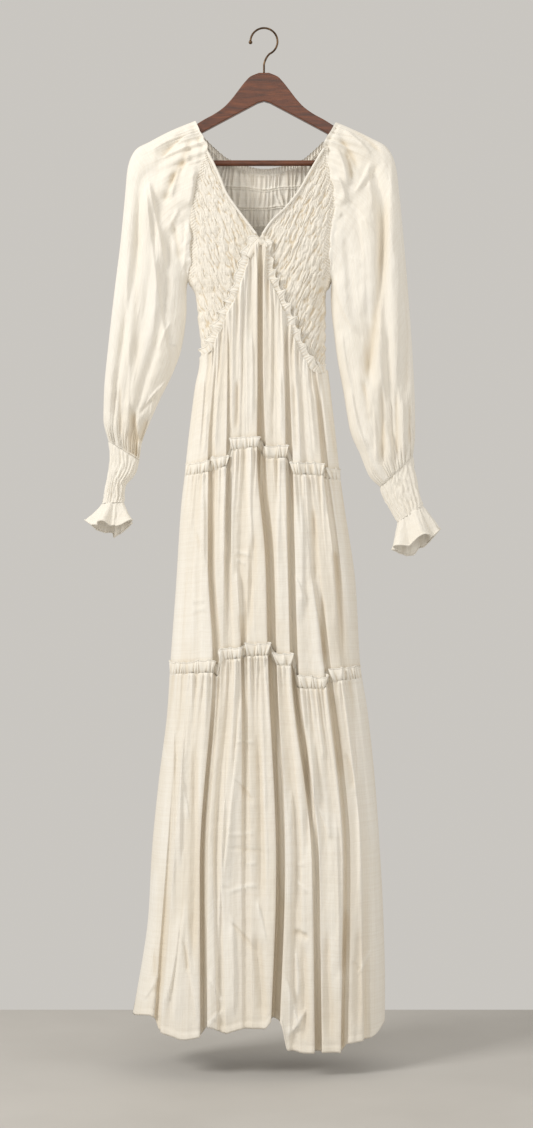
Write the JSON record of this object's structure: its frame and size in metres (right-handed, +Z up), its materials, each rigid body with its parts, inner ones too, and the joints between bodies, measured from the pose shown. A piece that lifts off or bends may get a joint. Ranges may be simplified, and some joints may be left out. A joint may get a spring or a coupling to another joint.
{
  "type": "peasant dress on a wooden hanger",
  "caption": "Tiered ivory gauze peasant dress with a V neck, shirred bodice and cuffs and long raglan sleeves, hanging flat on a dark wooden hanger.",
  "frame": {"origin": "inner crown of the hanger's hook, where it bears on what it hangs from", "axes": "+Z up, the front faces -Y, +X to the viewer's right"},
  "size_m": [0.5677, 0.1358, 1.6252],
  "materials": {
    "gauze": "matt, crinkled, fine slub weave",
    "cherry_wood": "satin varnish",
    "dark_bronze": "aged, dark"
  },
  "bodies": {
    "root": {"bodice_front_left": "gauze", "bodice_front_right": "gauze", "bodice_back": "gauze", "neck_binding_left": "gauze", "neck_binding_right": "gauze", "neck_casing_back": "gauze", "sleeve_left": "gauze", "sleeve_right": "gauze", "cuff_left": "gauze", "cuff_right": "gauze", "cuff_flounce_left": "gauze", "cuff_flounce_right": "gauze", "waist_frill_left": "gauze", "waist_frill_right": "gauze", "waist_frill_back": "gauze", "upper_tier_front": "gauze", "upper_tier_back": "gauze", "middle_tier_front": "gauze", "middle_tier_back": "gauze", "lower_tier_front": "gauze", "lower_tier_back": "gauze", "seam_frill_upper_front": "gauze", "seam_frill_upper_back": "gauze", "seam_frill_lower_front": "gauze", "seam_frill_lower_back": "gauze", "hanger_body": "cherry_wood", "hanger_bar": "cherry_wood", "hanger_hook": "dark_bronze"}
  },
  "joints": []
}
